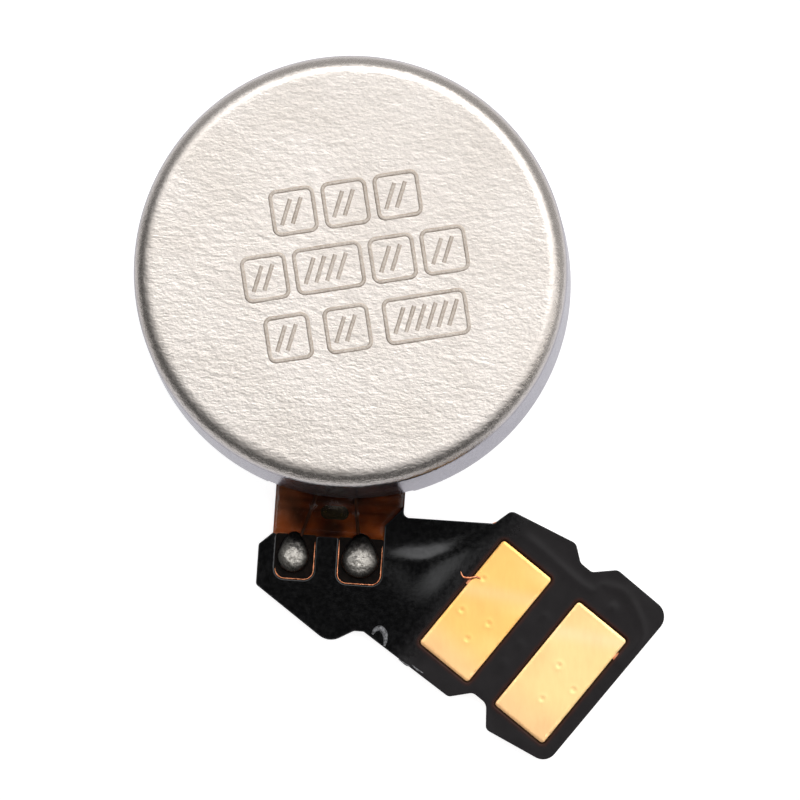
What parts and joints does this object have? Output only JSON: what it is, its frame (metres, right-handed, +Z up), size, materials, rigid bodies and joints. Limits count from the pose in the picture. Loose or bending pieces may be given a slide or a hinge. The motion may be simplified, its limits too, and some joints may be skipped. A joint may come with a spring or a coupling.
{
  "type": "coin vibration motor",
  "caption": "Sealed round coin-type linear vibration motor with a flat flexible circuit tail ending in gold contact pads.",
  "frame": {"origin": "centre of the mounting face under the base plate", "axes": "+Z up along the case's axis through its top, which is the direction of vibration; the flex leaves the case towards -Y"},
  "size_m": [0.0102, 0.0127, 0.0032],
  "materials": {
    "case_steel": "matte",
    "plate_steel": "satin",
    "weld_steel": "satin",
    "polyimide": "gloss",
    "black_coverlay": "gloss",
    "stiffener_resin": "satin",
    "copper": "satin",
    "gold": "satin",
    "solder": "satin",
    "clear_resin": "gloss",
    "coil_copper": "satin",
    "damper_rubber": "matte",
    "spring_steel": "satin",
    "yoke_steel": "satin",
    "magnet_nickel": "polished",
    "tungsten": "satin"
  },
  "bodies": {
    "housing": {"case_cap": "case_steel", "base_bracket": "plate_steel", "weld_spots": "weld_steel", "film_land": "polyimide", "coverlay_land": "black_coverlay", "flex_bend": "black_coverlay", "trace_1_land": "copper", "trace_2_land": "copper", "solder_joint_1": "solder", "solder_joint_2": "solder", "coil_lead_1": "coil_copper", "coil_lead_2": "coil_copper", "resin_bead": "clear_resin", "coil": "coil_copper", "bottom_damper": "damper_rubber", "top_damper": "damper_rubber", "flexure_spring": "spring_steel"},
    "vibrating_mass": {"weight_ring": "tungsten", "yoke": "yoke_steel", "magnet": "magnet_nickel", "pole_plate": "yoke_steel", "spring_clamp": "spring_steel"},
    "tail": {"film_tail": "polyimide", "coverlay_tail": "black_coverlay", "trace_1_tail": "copper", "trace_2_tail": "copper", "contact_pad_1": "gold", "contact_pad_2": "gold", "pad_stiffener": "stiffener_resin"}
  },
  "joints": [
    {"name": "mass_slide", "type": "slide", "parent": "housing", "child": "vibrating_mass", "axis": [0, 0, 1], "range_m": [-0.0003, 0.0003], "stiffness_N_per_m": 1400, "deforming": ["flexure_spring"]},
    {"name": "tail_bend", "type": "hinge", "parent": "housing", "child": "tail", "pos_m": [0.00184, -0.00523, 0.00026], "axis": [-0.5807, -0.8141, 0], "range_deg": [-90, 90], "stiffness_Nm_per_rad": 0.0006, "deforming": ["flex_bend"]}
  ]
}
